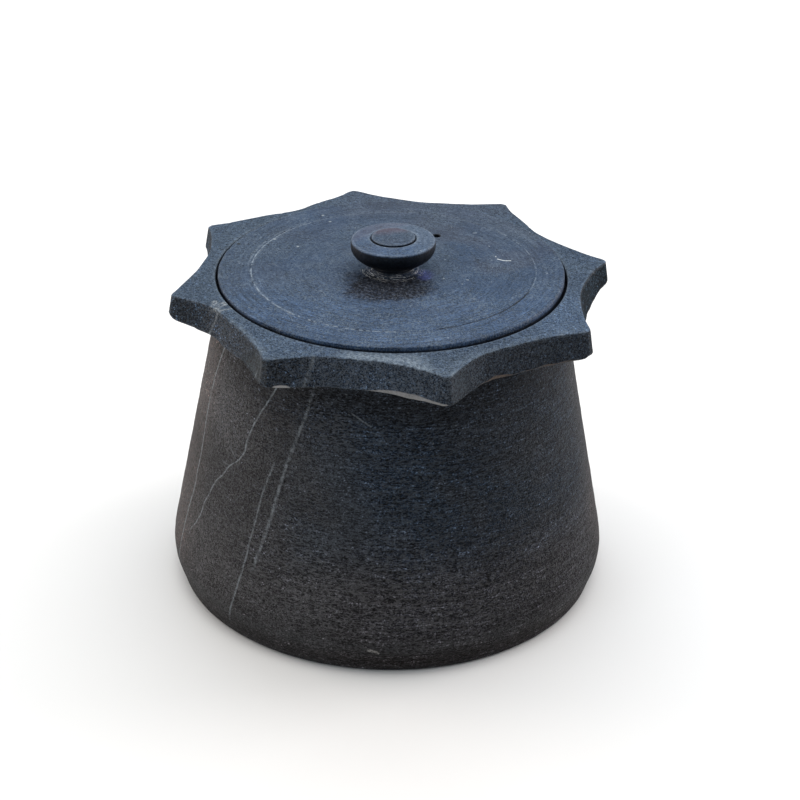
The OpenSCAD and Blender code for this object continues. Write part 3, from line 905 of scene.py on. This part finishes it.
    # recess for the lid
    for r, z, w in ((87.75, 163.95, 0.3), (87.4, 163.80, 0.5), (87.12, 163.5, 0.4), (87.0, 163.0, 0.1)):
        ring(r, z - 0.03, top=1.0 if r > 87.3 else 0.4, worn=w)
    for z in (161.0, 158.5, 156.6):
        ring(87.0, z)
    for r, z in ((86.8, 156.0), (84.0, 156.0), (80.5, 156.0), (78.0, 156.0), (77.45, 155.9), (77.12, 155.6), (77.0, 155.2)):
        ring(r, z)
    ring(77.0, 151.0)
    ring(77.0, 144.0, 2)
    for s in np.linspace(0, 1, 13)[1:]:
        ring(77.0 + (97.17 - 77.0) * s, 144.0 + (40.5 - 144.0) * s + 0.0, 2)
    for ang in np.linspace(6, -90, 11)[1:]:
        q = math.radians(ang)
        ring(73.3 + 24 * math.cos(q), 38 + 24 * math.sin(q), 2)
    ring(52.0, 14.0, 4)
    ring(30.0, 14.0, 8)
    end = ring(10.0, 14.0, 16)
    shell.end_fan(end, shell.points([[0, 0, 14.0]]))
    return shell.build("pot_body", material)


# ---------------------------------------------------------------- lid
LID_X = -0.15  # the lid lies a little to one side of its recess
KNOB = 0.75  # the knob's place, to one side of the lid's middle


def make_lid(material):
    T = 165.8
    full, half = 512, 256
    th_full = 2 * np.pi * np.arange(full) / full
    shell = Shell(["worn", "soot"])
    last = [None]
    rows = {}
    hand = waves(41, 8, 6, 50.0)
    fine = waves(42, 14, 40, 16.0)
    knob = waves(43, 8, 7, 8.0)
    rs = np.random.RandomState(44)

    def ring(r, z, n, mark=None, shift=0.0, **att):
        th = 2 * np.pi * np.arange(n) / n
        r = np.broadcast_to(r, (n,)) if np.ndim(r) == 0 else r
        z = np.broadcast_to(z, (n,))
        made = shell.points(np.stack([r * np.cos(th) + shift + LID_X, r * np.sin(th), z], 1), **att)
        if last[0] is not None:
            skip = None
            if mark is not None and last[1:] and last[1] == mark:
                skip = np.zeros(n, bool)
                skip[hole_cols[0]:hole_cols[1]] = True
            shell.join(last[0], made, skip)
        last[:] = [made, mark]
        return made

    # radii of the flat part, shared by the top and the underside
    flats = np.linspace(60.5, 15.5, 31)
    vent_r, vent_a = 46.8, math.radians(61)
    col = int(round(vent_a / (2 * np.pi) * half))
    hole_cols = (col - 4, col + 4)
    inside = [i for i in range(len(flats)) if abs(flats[i] - vent_r) < 4.6]
    i0, i1 = inside[0], inside[-1]

    # underside
    centre = shell.points([[LID_X, 0, 156.2]])
    first = ring(3.0, 156.2, 64)
    shell.start_fan(centre, first)
    ring(7.0, 156.2, 128)
    low_rows = {}
    for i in range(len(flats) - 1, -1, -1):
        m = "low" if i0 <= i <= i1 else None
        low_rows[i] = ring(flats[i], 156.2 - 0.2 * step(flats[i], 50, 60), half, m)
    ring(64.0, 156.0, full)
    th = th_full
    uneven = 0.10 + 0.05 * hand(th, 0.0) + 0.03 * fine(th, 0.0)
    for r, z in ((74.0, 156.0), (83.6, 156.0), (84.9, 156.0)):
        ring(r - 0.05, z, full)
    for r, z in ((85.35, 156.15), (85.65, 156.45), (85.8, 156.9), (85.8, 158.6), (85.8, 160.4), (85.8, 162.2), (85.8, 163.4)):
        ring(r - uneven, z, full)
    edge_r = 1.25 + 0.10 * fine(th, 5.0) + 0.10 * hand(th, 9.0) - 0.70 * window(np.degrees(th) % 360, 195, 288, 14)
    dings = np.zeros(full)
    for _ in range(14):
        at, w, s = rs.uniform(0, 360), rs.uniform(0.5, 1.6), rs.uniform(0.15, 0.6)
        d = np.abs((np.degrees(th) - at + 180) % 360 - 180)
        dings = np.maximum(dings, s * np.clip(1 - (d / w) ** 1.5, 0, 1))
    # the rounded edge carries wear and a painted highlight
    for phi in (0, 15, 30, 45, 60, 75, 90):
        c, s = math.cos(math.radians(phi)), math.sin(math.radians(phi))
        k = edge_r + dings
        ring(85.8 - uneven - k + k * c, T - k + k * s - dings * 0.15, full, worn=0.30 * math.sin(math.radians(phi * 2)) * (phi > 40) + dings * 0.5)

    # top, from the edge inwards: a ring scribed a little off the middle
    def drift(r):
        return float(np.clip(1 - abs(r - 70.5) / 9.0, 0, 1))

    def top(r, dz=0.0, n=full, mark=None, **att):
        t = 2 * np.pi * np.arange(n) / n
        w = drift(r)
        rr = r + w * (0.5 * np.cos(t) + 0.9 * np.sin(t))
        z = T + dz - 0.05 + 0.04 * hand(t, r) + 0.012 * fine(t, r)
        return ring(rr, np.minimum(z, T), n, mark, **att)

    for r in (83.4, 82.4, 81.0, 79.0, 77.0, 75.0, 73.2, 72.0, 71.3):
        top(r)
    for r, dz in ((70.95, 0.0), (70.75, -0.08), (70.5, -0.28), (70.25, -0.08), (70.05, 0.0)):
        top(r, dz)
    for r in (69.4, 68.2, 66.8, 65.2, 63.6, 62.2):
        top(r)
    top_rows = {}
    for i, r in enumerate(flats):
        m = "top" if i0 <= i <= i1 else None
        top_rows[i] = top(r, 0.0, half, m)
    # knob, a little off the middle
    knob_profile = [(14.2, 0.0, 0.0), (13.3, 0.02, 0.0), (12.9, 0.12, 0.2), (12.72, 0.4, 0.5), (12.55, 0.75, 0.6), (12.2, 0.95, 0.3), (11.5, 1.0, 0.0), (11.05, 1.12, 0.1),
                    (10.9, 1.5, 0.5), (10.65, 1.85, 0.4), (10.1, 1.98, 0.0), (9.55, 2.1, 0.0), (9.25, 2.4, 0.0), (9.15, 2.8, 0.0), (9.3, 3.2, 0.0)]
    # painted shade on the knob's neck, under the cap
    for r, z, w in knob_profile:
        ring(r, T + z, half, None, KNOB, worn=w * 0.6, soot=float(step(z, 0.9, 2.2)) * 0.9)
    # painted shade all over the cap's underside
    for r, z in bez((9.6, 4.0), (15.2, 4.7), (20.9, 8.2), (21.0, 12.6), 14):
        t = 2 * np.pi * np.arange(half) / half
        ring(r - 0.05 + 0.03 * knob(t, z), T + z, half, None, KNOB, soot=1.0)
    # painted highlight with wear on the cap's upper edge, painted shade on its side below
    back_edge = 0.40 + 0.30 * step(np.sin(2 * np.pi * np.arange(half) / half), -0.1, 0.5)
    for r, z in bez((21.0, 13.9), (20.98, 15.2), (20.75, 15.85), (20.0, 16.05), 7):
        ring(r - 0.05, T + z, half, None, KNOB, worn=back_edge * float(step(z, 15.4, 15.9)), soot=0.95 * (1 - float(step(z, 15.0, 15.8))))
    cap = [(19.3, 16.12, 0.1), (19.05, 16.06, 0.0), (18.8, 16.17, 0.15), (18.0, 16.28, 0.0), (16.8, 16.42, 0.0), (15.6, 16.54, 0.0), (14.2, 16.64, 0.0),
           (12.9, 16.72, 0.1), (12.1, 16.78, 0.7), (11.6, 16.72, 0.9), (11.38, 16.40, 0.1), (11.2, 16.02, 0.0), (10.98, 16.02, 0.0), (10.88, 16.40, 0.0),
           (10.82, 16.95, 0.0), (10.72, 17.25, 0.3), (10.45, 17.5, 0.6), (10.1, 17.66, 0.3), (9.4, 17.72, 0.0), (8.4, 17.78, 0.0), (7.0, 17.83, 0.0)]
    # painted shade in the groove round the button, most at the front; painted highlights with wear on its lips
    for r, z, w in cap:
        t = 2 * np.pi * np.arange(half) / half
        soot = (1.0 - 0.8 * step(np.sin(t), 0.0, 0.5)) if 10.8 < r < 11.3 and z < 17.0 else 0.0
        ring(r, T + z - 0.03 + 0.02 * knob(t, r), half, None, KNOB, worn=w * (0.8 if r < 12.5 else 0.55), soot=soot)
    ring(5.0, T + 17.90, 128, None, KNOB)
    end = ring(2.5, T + 17.94, 64, None, KNOB)
    shell.end_fan(end, shell.points([[LID_X + KNOB, 0, T + 17.95]]))

    # vent hole: a patch of both grids gives way to a drilled hole
    def border(table):
        """Vertex numbers round the patch, as one loop."""
        j0, j1 = hole_cols
        at = lambda i, j: table[i][0] + j % half
        loop = [at(i0, j) for j in range(j0, j1)]
        loop += [at(i, j1) for i in range(i0, i1)]
        loop += [at(i1, j) for j in range(j1, j0, -1)]
        loop += [at(i, j0) for i in range(i1, i0, -1)]
        return np.array(loop)

    mid = np.array([vent_r * math.cos(vent_a), vent_r * math.sin(vent_a)])
    verts = np.concatenate(shell.v)
    loops = {}
    for name, table in (("top", top_rows), ("low", low_rows)):
        loop = border(table)
        xy = verts[loop][:, :2]
        ang = np.arctan2(xy[:, 1] - mid[1], xy[:, 0] - mid[0])
        loops[name] = (loop, xy, verts[loop][:, 2], ang)

    # painted shade inside the hole
    def circle(r, z, ang, wear=0.0):
        s, n = shell.points(np.stack([mid[0] + r * np.cos(ang), mid[1] + r * np.sin(ang), np.broadcast_to(z, ang.shape)], 1), worn=wear, soot=float(r < 2.3))
        return np.arange(s, s + n)

    loop, xy, zz, ang = loops["top"]
    c0 = np.stack([mid[0] + 2.5 * np.cos(ang), mid[1] + 2.5 * np.sin(ang)], 1)
    s, n = shell.points(np.c_[xy * 0.5 + c0 * 0.5, zz * 0.5 + 0.5 * (T - 0.05)])
    mid_loop = np.arange(s, s + n)
    up, down = np.array([0, 0, 1.0]), np.array([0, 0, -1.0])
    shell.strip(loop, mid_loop, up)
    chain = [mid_loop, circle(2.5, T - 0.05, ang, 0.1), circle(2.15, T - 0.12, ang, 0.4), circle(1.95, T - 0.35, ang, 0.1), circle(1.9, T - 0.8, ang), circle(1.9, T - 4.0, ang),
             circle(1.9, 158.5, ang)]
    for a, b in zip(chain[:3], chain[1:4]):
        shell.strip(a, b, up)
    inwards = lambda c: np.c_[mid[0] - c[:, 0], mid[1] - c[:, 1], 0 * c[:, 0]]
    for a, b in zip(chain[3:6], chain[4:7]):
        shell.strip(a, b, inwards)
    loop2, xy2, zz2, ang2 = loops["low"]
    c1 = np.stack([mid[0] + 2.3 * np.cos(ang2), mid[1] + 2.3 * np.sin(ang2)], 1)
    s, n = shell.points(np.c_[xy2 * 0.5 + c1 * 0.5, zz2])
    low_mid = np.arange(s, s + n)
    shell.strip(loop2, low_mid, down)
    low_edge = circle(2.1, 156.2, ang2)
    shell.strip(low_mid, low_edge, down)
    shell.strip(low_edge, chain[-1], inwards)
    # the lid was turned a little thicker on its right side
    for part in shell.v:
        part[:, 2] += 0.75 * part[:, 0] / 85.0 * step(part[:, 2], 158.0, 164.0)
    return shell.build("pot_lid", material)


pot = make_pot(pot_material())
lid = make_lid(lid_material())
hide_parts("pot")
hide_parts("lid")
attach(pot, "root")
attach(lid, "root")
# a plain stone look for the hidden CAD nodes too
for node_name, node_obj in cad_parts.items():
    node_obj.data.materials.clear()
    node_obj.data.materials.append((pot if node_name == "pot" else lid).data.materials[0])


# ---------------------------------------------------------------- stage
def make_floor():
    me = bpy.data.meshes.new("floor")
    s = 9.0
    me.from_pydata([(-s, -s, 0), (s, -s, 0), (s, s, 0), (-s, s, 0)], [], [(0, 1, 2, 3)])
    ob = bpy.data.objects.new("floor", me)
    scene.collection.objects.link(ob)
    mat, g, bsdf = shader("floor_look")
    bsdf.inputs["Base Color"].default_value = (0.80, 0.80, 0.795, 1)
    bsdf.inputs["Roughness"].default_value = 0.85
    bsdf.inputs["Specular IOR Level"].default_value = 0.2
    me.materials.append(mat)


def soft_box(name, place, aim, size, power, colour):
    data = bpy.data.lights.new(name, "AREA")
    data.shape = "RECTANGLE"
    data.size, data.size_y = size
    data.energy = power
    data.color = colour
    ob = bpy.data.objects.new(name, data)
    scene.collection.objects.link(ob)
    z = (np.array(place) - np.array(aim)).astype(float)
    z /= np.linalg.norm(z)
    x = np.cross((0, 0, 1.0), z)
    x = x / np.linalg.norm(x) if np.linalg.norm(x) > 1e-6 else np.array([1.0, 0, 0])
    y = np.cross(z, x)
    m = Matrix.Identity(4)
    for i in range(3):
        m[i][0], m[i][1], m[i][2], m[i][3] = x[i], y[i], z[i], place[i]
    ob.matrix_world = m
    ob.visible_camera = False
    return ob


make_floor()
world = bpy.data.worlds.new("world")
scene.world = world
world.use_nodes = True
world.node_tree.nodes["Background"].inputs[0].default_value = (0.90, 0.95, 1.0, 1)
world.node_tree.nodes["Background"].inputs[1].default_value = 0.30
# a broad sky over and behind the pot, a low bluish one that shines along the lid, and warm fills at the sides
soft_box("overhead", (0.1, 0.55, 2.3), (0, 0.2, 0.0), (3.8, 3.2), 88, (1.0, 0.98, 0.95))
soft_box("behind", (0.1, 2.4, 1.35), (0, 0, 0.15), (3.4, 1.3), 16, (0.50, 0.74, 1.0))
soft_box("left", (-2.2, 0.85, 0.55), (0, 0, 0.06), (1.2, 1.0), 27, (1.0, 0.86, 0.75))
soft_box("right", (2.2, 0.85, 0.6), (0, 0, 0.06), (1.2, 1.0), 33, (1.0, 0.92, 0.92))
soft_box("front left", (-1.7, -1.5, 1.0), (0, 0, 0.06), (0.9, 0.9), 7, (0.86, 0.93, 1.0))

bpy.context.view_layer.update()
